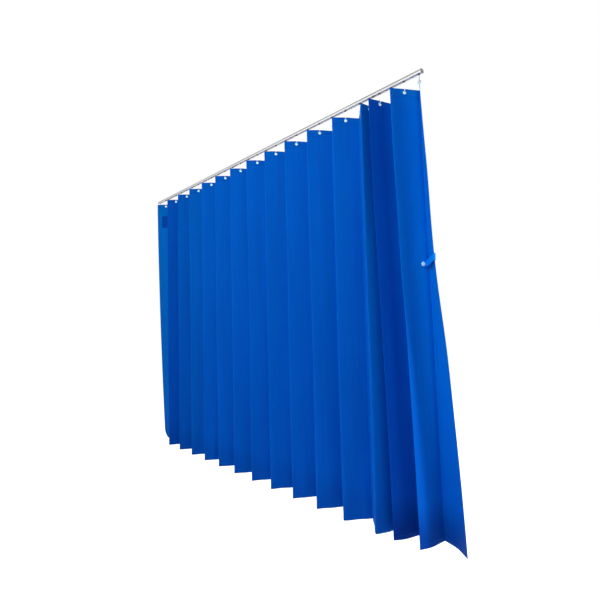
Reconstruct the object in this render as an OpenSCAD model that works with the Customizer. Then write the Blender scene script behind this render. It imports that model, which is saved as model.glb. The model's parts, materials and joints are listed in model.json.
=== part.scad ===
// Pleated hospital cubicle curtain on a slotted ceiling track.
// X runs along the track towards the anchored end, -Y is the side seen from the room.
// The origin is on the ceiling plane, halfway between the outermost screw holes of the track.

/* [Curtain] */
// Height of the cloth from its top edge to its bottom edge
drop = 2000; // [1500:10:2600]
// Width of one flat face between two creases
panel_w = 140; // [120:1:170]
// Distance between neighbouring front creases with the curtain drawn
pleat_pitch = 178; // [150:1:200]
// Angle between the track and a face with the curtain gathered
gathered_angle = 82; // [75:0.5:83]
// Thickness of one layer of cloth
cloth_t = 0.5; // [0.3:0.1:0.8]
// Thickness of the doubled cloth in the top and bottom bands
band_t = 1; // [0.8:0.1:1.4]
// Height of the doubled band at the top edge
top_band_h = 34; // [30:1:60]
// Height of the doubled band at the bottom edge
hem_h = 20; // [10:1:60]
// Width of the doubled strip down the leading edge
side_band_w = 14; // [8:1:25]
// Radius of the round fold along each crease
crease_r = 0.6; // [0.5:0.05:0.8]

/* [Track] */
// Outer width of the track
track_w = 20; // [18:0.5:30]
// Outer height of the track
track_h = 14; // [12:0.5:25]
// Wall thickness of the track
track_wall = 1.2; // [1:0.1:2]
// Width of the slot in the underside
slot_w = 6; // [5:0.5:8]
// Radius of the track's upper outside corners
track_corner_r = 2; // [1:0.5:4]
// Length of track left free past the leading crease
track_lead = 76; // [40:1:200]
// Radius of the ceiling screw holes
screw_hole_r = 2; // [1.5:0.25:3]
// Distance of the outermost screw holes from the track's ends
screw_inset = 50; // [30:5:150]

/* [End caps] */
// Thickness of an end cap's plate
cap_t = 3; // [2:0.5:6]
// Distance that an end cap's plate stands proud of the track all round
cap_lip = 0.8; // [0.4:0.1:2]
// Length of the tongue that plugs into the track
cap_tongue = 5; // [3:0.5:5.5]
// Side clearance of the tongue in the track
cap_clear = 0.2; // [0.1:0.05:0.4]

/* [Hangers] */
// Distance from the underside of the track to the top edge of the cloth
hang_gap = 35.6; // [28:0.2:60]
// Distance from the top edge of the cloth to the centre of an eyelet
eyelet_drop = 17.4; // [16:0.2:26]
// Radius of the opening in an eyelet
eyelet_r = 4.5; // [4:0.1:6]
// Radius of an eyelet's flanges
eyelet_flange_r = 8; // [7.5:0.1:10]
// Thickness of an eyelet's flange
eyelet_flange_t = 1; // [0.6:0.1:1.5]
// Radius of the hook's rod
hook_rod_r = 1.25; // [1:0.05:1.4]
// Radius of the hook's bend through the eyelet, to the middle of the rod
hook_bend_r = 5.5; // [5:0.1:6]
// Height of the hook's free end above the bottom of its bend
hook_tip_h = 19; // [14:0.5:24]
// Radius of the round glider that rides on the track's lips
glider_r = 7.5; // [6:0.1:8]
// Thickness of the glider
glider_t = 3; // [2:0.1:5]
// Radius of the collar under the track's lips
collar_r = 6; // [4:0.1:9]
// Thickness of the collar
collar_t = 2.4; // [1.5:0.1:4]
// Clearance between a glider or collar and the track's lips
glide_clear = 0.25; // [0.2:0.05:0.4]

/* [Parked stack] */
// Steps along the track between the stack's creases, at the top edge
stack_steps = [25, 22, 55, 59, 84, 58];
// Steps along the track between the stack's creases, at the bottom edge
stack_steps_low = [55, 32, 68, 49, 52, 119];
// Length of the track from the stack's first crease to the anchored end
stack_len = 288; // [286:1:400]

/* [Label and strap] */
// Width of the plain label on the leading face
label_w = 56; // [30:1:90]
// Height of the plain label
label_h = 104; // [50:1:200]
// Distance of the label below the cloth's top edge
label_drop = 100; // [60:1:400]
// Distance of the label from the leading edge
label_inset = 34; // [18:1:40]
// Thickness of the label
label_t = 0.3; // [0.2:0.05:0.6]
// Height of the tie-back strap
strap_h = 30; // [15:1:50]
// Thickness of the strap
strap_t = 1.2; // [0.8:0.1:2]
// Distance of the strap's middle below the cloth's top edge
strap_drop = 796; // [400:1:1400]
// Length of the strap's end that lies on the cloth under the stud
strap_tab = 34; // [26:1:50]
// Radius of the press stud's cap
stud_r = 9.5; // [6:0.1:12]
// Thickness of the press stud's cap
stud_t = 2.4; // [1.5:0.1:4]

/* [Hidden] */
$fn = 32;

cloth_colour = [0.02, 0.31, 0.72];
band_colour = [0.02, 0.25, 0.63];
white_plastic = [0.9, 0.92, 0.95];
grey_plastic = [0.55, 0.57, 0.6];
track_colour = [0.88, 0.89, 0.9];

// Panels are counted from the parked stack to the leading edge.
panels = 24;
step = pleat_pitch / 2;
pleat_depth = sqrt(panel_w * panel_w - step * step);
lay_angle = atan2(pleat_depth, step);
track_len = stack_len + panels * step + track_lead;
anchor_x = track_len / 2 - stack_len;
under_z = -track_h;
top_z = under_z - hang_gap;
low_z = top_z - drop;
eyelet_z = top_z - eyelet_drop;

// Gap round a crease, and the length over which a face thins out towards it.
// Two faces then stay clear of each other at the gathered angle.
fold_gap = 0.3;
fold_end = crease_r + fold_gap;
fold_bevel = (band_t / 2 + fold_gap) / tan(90 - gathered_angle);

// Hook and eyelet.
barrel_t = 0.8;
barrel_r = eyelet_r + barrel_t;
cloth_hole_r = barrel_r + 0.1;
hook_clear = 0.35;
bend_low_z = eyelet_z + eyelet_r - hook_rod_r - hook_clear;
bend_z = bend_low_z + hook_bend_r;
swan_r = hook_bend_r / 2;
swan_z = top_z + 1;
runner_h = 0.8;
runner_w = 1;
neck_r = slot_w / 2 - 0.8;
rail_z = under_z + track_wall + runner_h;
collar_z = under_z - glide_clear;

// Track.
inner_w = track_w - 2 * track_wall;
inner_h = track_h - 2 * track_wall;
screw_span = track_len - 2 * screw_inset;
screw_places = [-1 / 2, -1 / 6, 1 / 6, 1 / 2];

// Stack of pleats parked at the anchored end: plan points of its creases.
stack_offsets = [65, -58, 72, -56, 62, -58];
stack_offsets_low = [60, -44, 78, -32, 99, 36];
stack_faces = len(stack_steps);
stack_bows = [5, -5, 7, -6, 8, -9];
stack_segments = 5;
stack_rows = 9;
eyelet_seat = 0.02;
strap_pull = [-9, -9];
pull_reach = 420;
pull_rows = [-60, -20, 20, 60];

function sum_to(v, n) = n == 0 ? 0 : v[n - 1] + sum_to(v, n - 1);
function crease_plan(k, steps, offsets) =
  [anchor_x + sum_to(steps, k), k == 0 ? -pleat_depth / 2 : offsets[k - 1]];
function crease_top(k) = crease_plan(k, stack_steps, stack_offsets);
function crease_low(k) = crease_plan(k, stack_steps_low, stack_offsets_low);
function ease(a) = a * a * (3 - 2 * a) * 0.4 + a * 0.6;
function spread(d) = d <= top_band_h ? 0 : ease((d - top_band_h) / (drop - top_band_h));
function crease_at(k, d) =
  crease_top(k) * (1 - spread(d)) + crease_low(k) * spread(d)
  + (k == stack_faces ? strap_pull * pull_share(d) : [0, 0]);

// How much of the strap's pull on the free edge is left at distance d below the top edge.
function pull_share(d) =
  let (u = (d - strap_drop) / pull_reach)
  abs(u) < 1 ? pow(1 - u * u, 2) : 0;
function unit(v) = v / norm(v);
function right_of(v) = [v.y, -v.x];

// A point of face k, a share s of the way across it, at distance d below the top edge.
function face_at(k, s, d) =
  let (a = crease_at(k, d), b = crease_at(k + 1, d))
  a + (b - a) * s + right_of(unit(b - a)) * stack_bows[k] * spread(d) * sin(180 * s);

// Plan of the whole stack at one level, starting just clear of the first moving face.
stack_start = 2 * fold_end / panel_w;
function stack_plan(d) = concat(
  [for (k = [0:stack_faces - 1], j = [0:stack_segments - 1])
    face_at(k, k == 0 && j == 0 ? stack_start : j / stack_segments, d)],
  [crease_at(stack_faces, d)]
);

// The direction to the right of a plan line at point c, lengthened so that the cloth keeps its thickness.
function mitre(p, c) =
  let (
    before = unit(p[max(c, 1)] - p[max(c, 1) - 1]),
    after = unit(p[min(c + 1, len(p) - 1)] - p[min(c, len(p) - 2)]),
    a = right_of(before),
    b = right_of(after)
  )
  (a + b) / (1 + a * b);

// Levels at which the stack's plan is taken, closer together where the strap pulls the free edge in.
function row_at(r) = top_band_h + (drop - top_band_h - hem_h) * r / stack_rows;
stack_depths = concat(
  [0, top_band_h, top_band_h + 0.5],
  [for (r = [1:stack_rows - 1]) if (row_at(r) < strap_drop + pull_rows[0] - 5) row_at(r)],
  [for (h = pull_rows) strap_drop + h],
  [for (r = [1:stack_rows - 1]) if (row_at(r) > strap_drop + pull_rows[3] + 5) row_at(r)],
  [drop - hem_h - 0.5, drop - hem_h, drop]
);
function is_band(d) = d <= top_band_h || d >= drop - hem_h;

// Outline of a strip of thickness t along a plan line.
function strip(p, t) = concat(
  [for (c = [0:len(p) - 1]) p[c] + mitre(p, c) * t / 2],
  [for (c = [len(p) - 1:-1:0]) p[c] - mitre(p, c) * t / 2]
);

// Where a face of the stack crosses the track's centre line, and its heading there.
function cross_share(k) = -crease_top(k).y / (crease_top(k + 1).y - crease_top(k).y);
function cross_x(k) = (crease_top(k) * (1 - cross_share(k)) + crease_top(k + 1) * cross_share(k)).x;
function heading(a, b) = atan2(b.y - a.y, b.x - a.x);
function cross_heading(k) = heading(crease_top(k), crease_top(k + 1));

// Press stud, on the last face of the stack but one.
strap_colour = [0.05, 0.47, 0.88];
stud_face = stack_faces - 2;
stud_share = 0.75;
seat_gap = 0.25;
plate_t = 0.8;
shank_r = 1.5;
post_r = 2.2;
post_h = 1.4;
ring_r = 6;
ring_w = 3.2;
ring_t = 1.6;
ring_web = 0.2;
tab_gap = cloth_t / 2 + seat_gap + plate_t + fold_gap + ring_t + strap_t / 2;
strap_z = top_z - strap_drop;
stud_at = face_at(stud_face, stud_share, strap_drop);
stud_dir = unit(
  face_at(stud_face, stud_share + 0.02, strap_drop) - face_at(stud_face, stud_share - 0.02, strap_drop)
);
stud_out = right_of(stud_dir);
stud_heading = atan2(stud_dir.y, stud_dir.x);

// Strap: sewn to the far side of the last face, round its free edge and across to the fold of its tab.
strap_fold = stud_at + stud_out * tab_gap + stud_dir * strap_tab / 2;
strap_rise = 13;
edge_drop = strap_drop - strap_rise;
edge_at = face_at(stack_faces - 1, 1, edge_drop);
edge_dir = unit(edge_at - face_at(stack_faces - 1, 0.8, edge_drop));
edge_side = right_of(edge_dir);
sewn_len = 30;
lean_gap = 1.25;
sewn_gap = cloth_t / 2 + lean_gap + strap_t / 2;
wrap_r = 2.8;
strap_bead_r = strap_t / 2 + 0.15;
wrap_mid = edge_at + edge_dir * 1.5 * wrap_r;
wrap_line = [for (a = [90:-30:-90]) wrap_mid + wrap_r * (edge_dir * cos(a) - edge_side * sin(a))];
wrap_end = wrap_mid + wrap_r * edge_side;
band_dir = unit(wrap_end - strap_fold);
strap_open = 45;

// Points of a smooth curve from a to d with handles b and c.
function curve(a, b, c, d, n) = [for (j = [1:n])
  let (s = j / n, t = 1 - s)
  a * pow(t, 3) + b * 3 * t * t * s + c * 3 * t * s * s + d * pow(s, 3)];
strap_line = concat(
  [for (back = [sewn_len, sewn_len / 3]) edge_at - edge_dir * back - edge_side * sewn_gap],
  wrap_line,
  curve(wrap_end, wrap_end - edge_dir * 25 + edge_side * 3, strap_fold + band_dir * 25, strap_fold, 10)
);

// Centre and heading of a moving panel, and the side on which it folds at its right crease.
function panel_x(i) = anchor_x - (i - 0.5) * step;
function fold_side(i) = i % 2 == 1 ? 1 : -1;
function panel_heading(i) = -fold_side(i) * lay_angle;

// Outline of one face from above, k thick each way from its middle plane.
module face_outline(k, side, free) {
  half = panel_w / 2;
  right_end = [
    [half - fold_end, -side * k],
    [half - fold_end, 0],
    [half - fold_bevel, side * k]
  ];
  left_end = free
    ? [[-half, side * k], [-half, -side * k]]
    : [[-half, side * k], [-half, 0], [-half + fold_end, 0], [-half + fold_bevel, -side * k]];
  polygon(concat(right_end, left_end));
}

module face_slab(k, side, free, z, h) {
  translate([0, 0, z])
    linear_extrude(height = h)
      face_outline(k, side, free);
}

module eyelet_hole() {
  translate([0, 0, eyelet_z])
    rotate([90, 0, 0])
      cylinder(r = cloth_hole_r, h = 10, center = true);
}

module panel(i) {
  side = fold_side(i);
  free = i == panels;
  color(i % 2 == 1 ? band_colour : cloth_colour)
    translate([panel_x(i), 0, 0])
      rotate([0, 0, panel_heading(i)])
        difference() {
          union() {
            face_slab(cloth_t / 2, side, free, low_z, drop);
            face_slab(band_t / 2, side, free, top_z - top_band_h, top_band_h);
            face_slab(band_t / 2, side, free, low_z, hem_h);
            if (free)
              translate([-panel_w / 2, -band_t / 2, low_z])
                cube([side_band_w, band_t, drop]);
            else
              translate([-panel_w / 2, 0, low_z])
                cylinder(r = crease_r, h = drop);
          }
          eyelet_hole();
        }
}

// Ring of an eyelet: a barrel through the cloth with a flange on each side.
module eyelet_ring() {
  inner = band_t / 2;
  outer = inner + eyelet_flange_t;
  translate([0, 0, eyelet_z])
    rotate([90, 0, 0])
      rotate_extrude($fn = 48)
        polygon([
          [eyelet_r, -outer],
          [eyelet_flange_r, -outer],
          [eyelet_flange_r, -inner],
          [barrel_r, -inner],
          [barrel_r, inner],
          [eyelet_flange_r, inner],
          [eyelet_flange_r, outer],
          [eyelet_r, outer]
        ]);
}

// Part of a ring of the hook's rod, standing in the plane square to the cloth.
module rod_arc(bend_r, from, to) {
  rotate([90, 0, 90])
    rotate([0, 0, from])
      rotate_extrude(angle = to - from, $fn = 32)
        translate([bend_r, 0])
          circle(r = hook_rod_r, $fn = 20);
}

module rod(y, z, h) {
  translate([0, y, z])
    cylinder(r = hook_rod_r, h = h, $fn = 20);
}

// Glider, neck and collar, turned as one piece about the upright rod.
module glider() {
  bevel = 0.6;
  glider_low = rail_z + glide_clear;
  rotate_extrude($fn = 40)
    polygon([
      [0, collar_z - collar_t - 1.5],
      [hook_rod_r + 0.6, collar_z - collar_t - 1.5],
      [hook_rod_r + 1.4, collar_z - collar_t],
      [collar_r - bevel, collar_z - collar_t],
      [collar_r, collar_z - collar_t + bevel],
      [collar_r, collar_z],
      [neck_r, collar_z],
      [neck_r, glider_low],
      [glider_r, glider_low],
      [glider_r, glider_low + glider_t - bevel],
      [glider_r - bevel, glider_low + glider_t],
      [0, glider_low + glider_t]
    ]);
}

// Hook: an upright rod that swings over the cloth's top edge, down and through the eyelet.
module hook() {
  rod_top = collar_z - collar_t;
  rod(0, swan_z + 2 * swan_r, rod_top - swan_z - 2 * swan_r);
  translate([0, swan_r, swan_z + 2 * swan_r])
    rod_arc(swan_r, 180, 270);
  translate([0, swan_r, swan_z])
    rod_arc(swan_r, 0, 90);
  rod(hook_bend_r, bend_z, swan_z - bend_z);
  translate([0, 0, bend_z])
    rod_arc(hook_bend_r, 180, 360);
  tip_z = bend_low_z + hook_tip_h;
  rod(-hook_bend_r, bend_z, tip_z - bend_z);
  translate([0, -hook_bend_r, tip_z])
    sphere(r = hook_rod_r, $fn = 24);
}

module hanger_at(x, turn) {
  translate([x, 0, 0])
    rotate([0, 0, turn]) {
      eyelet_ring();
      union() {
        glider();
        hook();
      }
    }
}

module hanger(i) {
  color(white_plastic)
    hanger_at(panel_x(i), panel_heading(i));
}

module stack_hangers() {
  color(white_plastic)
    for (k = [0:stack_faces - 1])
      hanger_at(cross_x(k), cross_heading(k));
}

// Profile of the track: a box open along its underside, with a runner on each lip.
module track_profile() {
  difference() {
    union() {
      translate([-track_w / 2, -track_h])
        square([track_w, track_h - track_corner_r]);
      translate([-track_w / 2 + track_corner_r, -track_corner_r])
        square([track_w - 2 * track_corner_r, track_corner_r]);
      for (side = [-1, 1])
        translate([side * (track_w / 2 - track_corner_r), -track_corner_r])
          circle(r = track_corner_r);
    }
    translate([-inner_w / 2, -track_h + track_wall])
      square([inner_w, inner_h]);
    translate([-slot_w / 2, -track_h - 1])
      square([slot_w, track_wall + 2]);
  }
  for (side = [-1, 1])
    translate([side * (slot_w + runner_w) / 2 - runner_w / 2, -track_h + track_wall / 2])
      square([runner_w, track_wall / 2 + runner_h]);
}

module track() {
  color(track_colour)
    difference() {
      translate([-track_len / 2, 0, 0])
        rotate([90, 0, 90])
          linear_extrude(height = track_len)
            track_profile();
      for (share = screw_places)
        translate([share * screw_span, 0, -track_wall - 1])
          cylinder(r = screw_hole_r, h = track_wall + 2);
    }
}

// End cap: a plate over the track's end with a tongue that plugs into it.
module end_cap() {
  plate_w = track_w + 2 * cap_lip;
  plate_h = track_h + cap_lip;
  round_r = track_corner_r + cap_lip;
  tongue_w = inner_w - 2 * cap_clear;
  tongue_h = inner_h - runner_h - 2 * cap_clear;
  rotate([90, 0, 90])
    linear_extrude(height = cap_t) {
      translate([-plate_w / 2, -plate_h + round_r])
        square([plate_w, plate_h - round_r]);
      translate([-plate_w / 2 + round_r, -plate_h])
        square([plate_w - 2 * round_r, round_r]);
      for (side = [-1, 1])
        translate([side * (plate_w / 2 - round_r), -plate_h + round_r])
          circle(r = round_r);
    }
  difference() {
    translate([-cap_tongue, -tongue_w / 2, -track_wall - cap_clear - tongue_h])
      cube([cap_tongue + 0.5, tongue_w, tongue_h]);
    translate([-cap_tongue - 1, -tongue_w / 2 + 2, -track_wall - cap_clear - tongue_h - 1])
      cube([cap_tongue + 1, tongue_w - 4, tongue_h - 1]);
  }
}

module end_cap_right() {
  color(grey_plastic)
    translate([track_len / 2, 0, 0])
      end_cap();
}

module end_cap_left() {
  color(grey_plastic)
    translate([-track_len / 2, 0, 0])
      mirror([1, 0, 0])
        end_cap();
}

// Turns the next piece so that its z axis leaves the face square to it, at a height h above the cloth.
module at_stud(h) {
  p = stud_at + stud_out * h;
  translate([p.x, p.y, strap_z])
    rotate([0, 0, stud_heading])
      rotate([90, 0, 0])
        children();
}

// Cloth of the parked stack: one sheet between a top plan and a wider bottom plan.
module stack_cloth() {
  rows = len(stack_depths);
  cols = stack_faces * stack_segments + 1;
  plans = [for (d = stack_depths) stack_plan(d)];
  function place(r, c, side) =
    let (
      d = stack_depths[r],
      half = is_band(d) ? band_t / 2 - eyelet_seat : cloth_t / 2,
      q = plans[r][c] + side * half * mitre(plans[r], c)
    )
    [q.x, q.y, top_z - d];
  function front(r, c) = r * cols + c;
  function back(r, c) = rows * cols + r * cols + c;
  corners = concat(
    [for (r = [0:rows - 1], c = [0:cols - 1]) place(r, c, 1)],
    [for (r = [0:rows - 1], c = [0:cols - 1]) place(r, c, -1)]
  );
  sides = [for (r = [0:rows - 2], c = [0:cols - 2]) each [
    [front(r, c), front(r, c + 1), front(r + 1, c + 1)],
    [front(r, c), front(r + 1, c + 1), front(r + 1, c)],
    [back(r, c), back(r + 1, c + 1), back(r, c + 1)],
    [back(r, c), back(r + 1, c), back(r + 1, c + 1)]
  ]];
  low = rows - 1;
  rims = [for (c = [0:cols - 2]) each [
    [back(0, c), back(0, c + 1), front(0, c + 1)],
    [back(0, c), front(0, c + 1), front(0, c)],
    [front(low, c), front(low, c + 1), back(low, c + 1)],
    [front(low, c), back(low, c + 1), back(low, c)]
  ]];
  last = cols - 1;
  edges = [for (r = [0:rows - 2]) each [
    [back(r, 0), front(r, 0), front(r + 1, 0)],
    [back(r, 0), front(r + 1, 0), back(r + 1, 0)],
    [front(r, last), back(r, last), back(r + 1, last)],
    [front(r, last), back(r + 1, last), front(r + 1, last)]
  ]];
  color(cloth_colour)
    difference() {
      polyhedron(points = corners, faces = concat(sides, rims, edges), convexity = 10);
      for (k = [0:stack_faces - 1])
        translate([cross_x(k), 0, 0])
          rotate([0, 0, cross_heading(k)])
            eyelet_hole();
      at_stud(-5)
        cylinder(r = shank_r + 0.2, h = 10);
    }
}

// Plain label on the room side of the leading face.
module label() {
  color(band_colour)
    translate([panel_x(panels), 0, 0])
      rotate([0, 0, panel_heading(panels)])
        translate([
          -panel_w / 2 + label_inset,
          -cloth_t / 2 - label_t,
          top_z - label_drop - label_h
        ])
          cube([label_w, label_t, label_h]);
}

// Outline of the strap's tab from its fold to its end, with the bead at its fold, grown by a gap.
module tab_outline(gap) {
  translate([-strap_tab, -strap_t / 2 - gap])
    square([strap_tab, strap_t + 2 * gap]);
  circle(r = strap_bead_r + gap);
}

// Band of height h and thickness t along a plan line, with its lower edge at each point's own level.
module ribbon(line, lows, t, h) {
  n = len(line);
  corners = [for (i = [0:n - 1], side = [1, -1], up = [0, h])
    let (q = line[i] + side * mitre(line, i) * t / 2)
    [q.x, q.y, lows[i] + up]];
  around = [0, 1, 3, 2];
  walls = [for (i = [0:n - 2], c = [0:3])
    let (a = 4 * i + around[c], b = 4 * i + around[(c + 1) % 4])
    each [[a, b, b + 4], [a, b + 4, a + 4]]];
  ends = [[0, 2, 3, 1], [for (c = around) 4 * (n - 1) + c]];
  polyhedron(points = corners, faces = concat(walls, ends), convexity = 6);
}

// The band is cut clear of the tab where that stands when the stud is open.
module strap_band() {
  lows = [for (q = strap_line)
    strap_z - strap_h / 2 + strap_rise * min(1, norm(q - strap_fold) / norm(wrap_end - strap_fold))];
  color(strap_colour)
    difference() {
      ribbon(strap_line, lows, strap_t, strap_h);
      translate([strap_fold.x, strap_fold.y, strap_z - strap_h])
        rotate([0, 0, stud_heading + strap_open])
          linear_extrude(height = 2 * strap_h)
            tab_outline(fold_gap);
    }
}

module strap_tab() {
  color(strap_colour)
    difference() {
      translate([strap_fold.x, strap_fold.y, strap_z - strap_h / 2])
        rotate([0, 0, stud_heading])
          linear_extrude(height = strap_h)
            tab_outline(0);
      at_stud(tab_gap - strap_t)
        cylinder(r = shank_r + 0.2, h = 2 * strap_t);
    }
}

// Cap half of the press stud: a domed disc, a shank through the strap and a ring that takes the post.
module stud_cap() {
  low = tab_gap - strap_t / 2 - ring_t;
  high = tab_gap + strap_t / 2;
  color(white_plastic)
    at_stud(0)
      rotate_extrude($fn = 48)
        polygon([
          [0, low + ring_t - ring_web],
          [ring_r - ring_w, low + ring_t - ring_web],
          [ring_r - ring_w, low],
          [ring_r - 0.3, low],
          [ring_r, low + 0.3],
          [ring_r, low + ring_t],
          [shank_r, low + ring_t],
          [shank_r, high],
          [stud_r - 0.4, high],
          [stud_r, high + 0.5],
          [stud_r - 0.7, high + stud_t * 0.7],
          [stud_r - 3, high + stud_t],
          [0, high + stud_t]
        ]);
}

// Post half of the press stud, riveted through the cloth with a plate on each side of it.
module stud_post() {
  skin = cloth_t / 2 + seat_gap;
  color(white_plastic)
    at_stud(0)
      rotate_extrude($fn = 48)
        polygon([
          [0, -skin - plate_t],
          [ring_r - 0.3, -skin - plate_t],
          [ring_r, -skin - plate_t + 0.3],
          [ring_r, -skin],
          [shank_r, -skin],
          [shank_r, skin],
          [ring_r, skin],
          [ring_r, skin + plate_t - 0.3],
          [ring_r - 0.3, skin + plate_t],
          [post_r - 0.2, skin + plate_t],
          [post_r, skin + plate_t + 0.5],
          [post_r - 0.4, skin + plate_t + post_h],
          [0, skin + plate_t + post_h]
        ]);
}

panel(1);  // panel_01
panel(2);  // panel_02
panel(3);  // panel_03
panel(4);  // panel_04
panel(5);  // panel_05
panel(6);  // panel_06
panel(7);  // panel_07
panel(8);  // panel_08
panel(9);  // panel_09
panel(10);  // panel_10
panel(11);  // panel_11
panel(12);  // panel_12
panel(13);  // panel_13
panel(14);  // panel_14
panel(15);  // panel_15
panel(16);  // panel_16
panel(17);  // panel_17
panel(18);  // panel_18
panel(19);  // panel_19
panel(20);  // panel_20
panel(21);  // panel_21
panel(22);  // panel_22
panel(23);  // panel_23
panel(24);  // panel_24
hanger(1);  // hanger_01
hanger(2);  // hanger_02
hanger(3);  // hanger_03
hanger(4);  // hanger_04
hanger(5);  // hanger_05
hanger(6);  // hanger_06
hanger(7);  // hanger_07
hanger(8);  // hanger_08
hanger(9);  // hanger_09
hanger(10);  // hanger_10
hanger(11);  // hanger_11
hanger(12);  // hanger_12
hanger(13);  // hanger_13
hanger(14);  // hanger_14
hanger(15);  // hanger_15
hanger(16);  // hanger_16
hanger(17);  // hanger_17
hanger(18);  // hanger_18
hanger(19);  // hanger_19
hanger(20);  // hanger_20
hanger(21);  // hanger_21
hanger(22);  // hanger_22
hanger(23);  // hanger_23
hanger(24);  // hanger_24
track();
end_cap_left();
end_cap_right();
stack_cloth();
stack_hangers();
label();
strap_band();
strap_tab();
stud_cap();
stud_post();
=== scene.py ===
import json
import math

import bpy
import numpy as np
from bpy.props import FloatProperty, FloatVectorProperty, PointerProperty
from mathutils import Matrix, Vector


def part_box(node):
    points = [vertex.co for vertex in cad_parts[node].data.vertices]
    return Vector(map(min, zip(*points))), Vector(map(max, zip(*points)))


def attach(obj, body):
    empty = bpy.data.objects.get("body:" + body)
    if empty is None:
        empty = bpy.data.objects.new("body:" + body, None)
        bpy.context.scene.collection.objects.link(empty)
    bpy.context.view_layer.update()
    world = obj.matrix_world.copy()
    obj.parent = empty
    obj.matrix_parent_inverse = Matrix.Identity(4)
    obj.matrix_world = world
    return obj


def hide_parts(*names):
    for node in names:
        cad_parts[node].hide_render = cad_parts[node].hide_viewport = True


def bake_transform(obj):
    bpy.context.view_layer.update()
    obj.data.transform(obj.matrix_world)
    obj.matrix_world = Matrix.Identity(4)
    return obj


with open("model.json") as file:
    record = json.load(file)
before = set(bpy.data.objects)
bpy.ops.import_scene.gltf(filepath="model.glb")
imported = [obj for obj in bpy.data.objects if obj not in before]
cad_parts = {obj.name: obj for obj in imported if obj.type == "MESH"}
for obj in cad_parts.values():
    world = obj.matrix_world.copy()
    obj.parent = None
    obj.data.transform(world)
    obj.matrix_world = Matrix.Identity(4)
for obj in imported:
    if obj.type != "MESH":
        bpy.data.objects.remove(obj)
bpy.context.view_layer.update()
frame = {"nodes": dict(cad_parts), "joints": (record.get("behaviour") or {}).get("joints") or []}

bl_info = {
    "name": "Pleated Cubicle Curtain",
    "version": (1, 0, 0),
    "blender": (4, 5, 0),
    "location": "3D View > Sidebar > Curtain",
    "description": "Dresses a pleated hospital cubicle curtain with cloth, hangers, track and stage",
    "category": "Object",
}

JOINTS = {j["name"]: j for j in frame["joints"]}
NODES = frame["nodes"]
PANELS = sum(1 for n in NODES if n.startswith("panel_"))

# Plan of the parked stack, in metres: steps along the track from its first crease, and how far each crease
# stands off the track's centre line, at the top edge and at the bottom edge, and how far each face bows.
STACK_STEPS = (0.025, 0.022, 0.055, 0.059, 0.084, 0.058)
STACK_STEPS_LOW = (0.055, 0.032, 0.068, 0.049, 0.052, 0.119)
STACK_OFFSETS = (0.065, -0.058, 0.072, -0.056, 0.062, -0.058)
STACK_OFFSETS_LOW = (0.060, -0.044, 0.078, -0.032, 0.099, 0.036)
STACK_BOWS = (0.005, -0.005, 0.007, -0.006, 0.008, -0.009)
FACES = PANELS + len(STACK_STEPS)
# How much of the first parked fold belongs to the last moving piece of cloth.
STACK_LAP = 0.016

# The tie-back strap: the heading of its tab in plan, and the press stud's share of its face's width. In
# metres, the strap's depth below the top edge, how much higher it is sewn on at the free edge, how far it
# pulls that edge in, and how far above and below it the pull reaches.
STUD_HEADING, STUD_SHARE = np.array((0.46754, 0.88397)), 0.75
STRAP_DROP, STRAP_RISE = 0.796, 0.013
EDGE_PULL, PULL_REACH = np.array((-0.006, -0.006)), 0.42
# Radius of the strap's turn about the free edge, and how far it runs straight at both ends of its way
# from there to the tab.
STRAP_TURN, STRAP_REACH = 0.0038, 0.025

# The leading face swings open towards the hem, in degrees for each metre below a depth, and its free lower
# corner is turned in. Depth, height and turn are in metres.
LEAD_SWING, SWING_START = 20.5, 0.08
CORNER_HEIGHT, CORNER_TURN = 0.075, np.array((0.026, 0.012))

# The plain label: its width, its thickness and its distance from the leading edge, in metres.
LABEL_WIDTH, LABEL_THICKNESS, LABEL_INSET = 0.056, 0.0003, 0.034

# A stitch, in metres: half the thread's width, and how far its middle stands out and its ends sink in.
THREAD_HALF, THREAD_OUT, THREAD_IN = 0.0003, 0.00022, 0.00008

# The block of the cloth's mesh about an eyelet: its cells each way, and a cell and half the block in metres.
BLOCK, CELL = 4, 0.003
HALF_BLOCK = BLOCK * CELL


# Settings

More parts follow.
